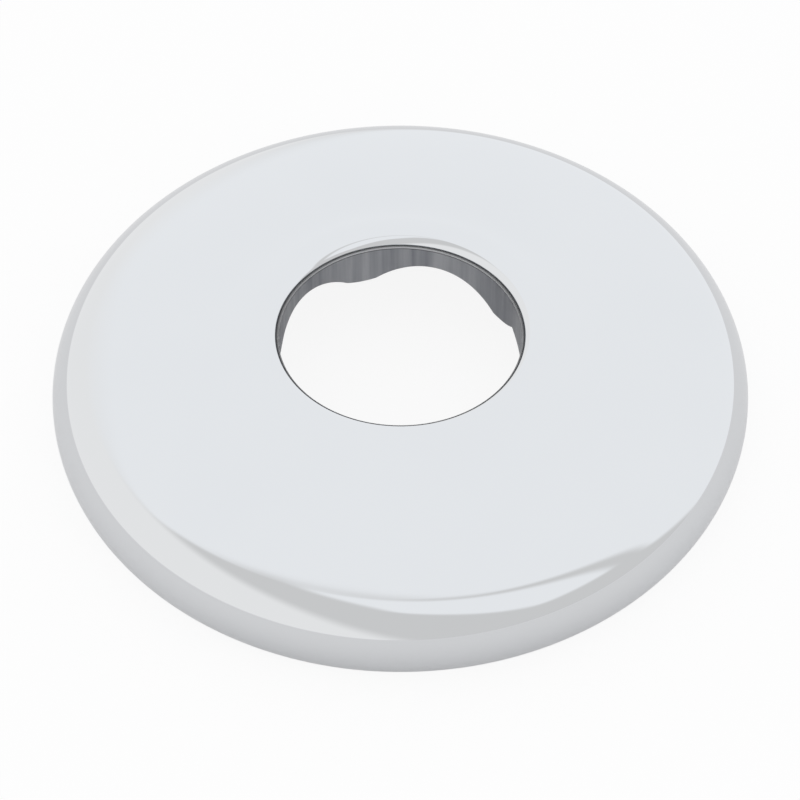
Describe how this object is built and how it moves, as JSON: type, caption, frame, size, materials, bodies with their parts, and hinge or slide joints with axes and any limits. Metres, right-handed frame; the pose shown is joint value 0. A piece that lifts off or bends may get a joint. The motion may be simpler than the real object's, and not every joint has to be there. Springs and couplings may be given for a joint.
{
  "type": "wall flange",
  "caption": "Round pressed-metal wall flange: a shallow polished dome with a curled rim and a low collar, which slides over a pipe and covers the hole where the pipe leaves the wall.",
  "frame": {"origin": "on the axis of the pipe hole, in the plane of the wall that the rim seats on", "axes": "+Z along the pipe, away from the wall; +X and +Y in the plane of the wall"},
  "size_m": [0.0636, 0.0636, 0.0114],
  "materials": {
    "polished_chrome": "mirror-polished chrome plate on pressed steel sheet; plain drawn grey metal inside the neck"
  },
  "bodies": {
    "root": {"wall_flange": "polished_chrome"}
  },
  "joints": []
}
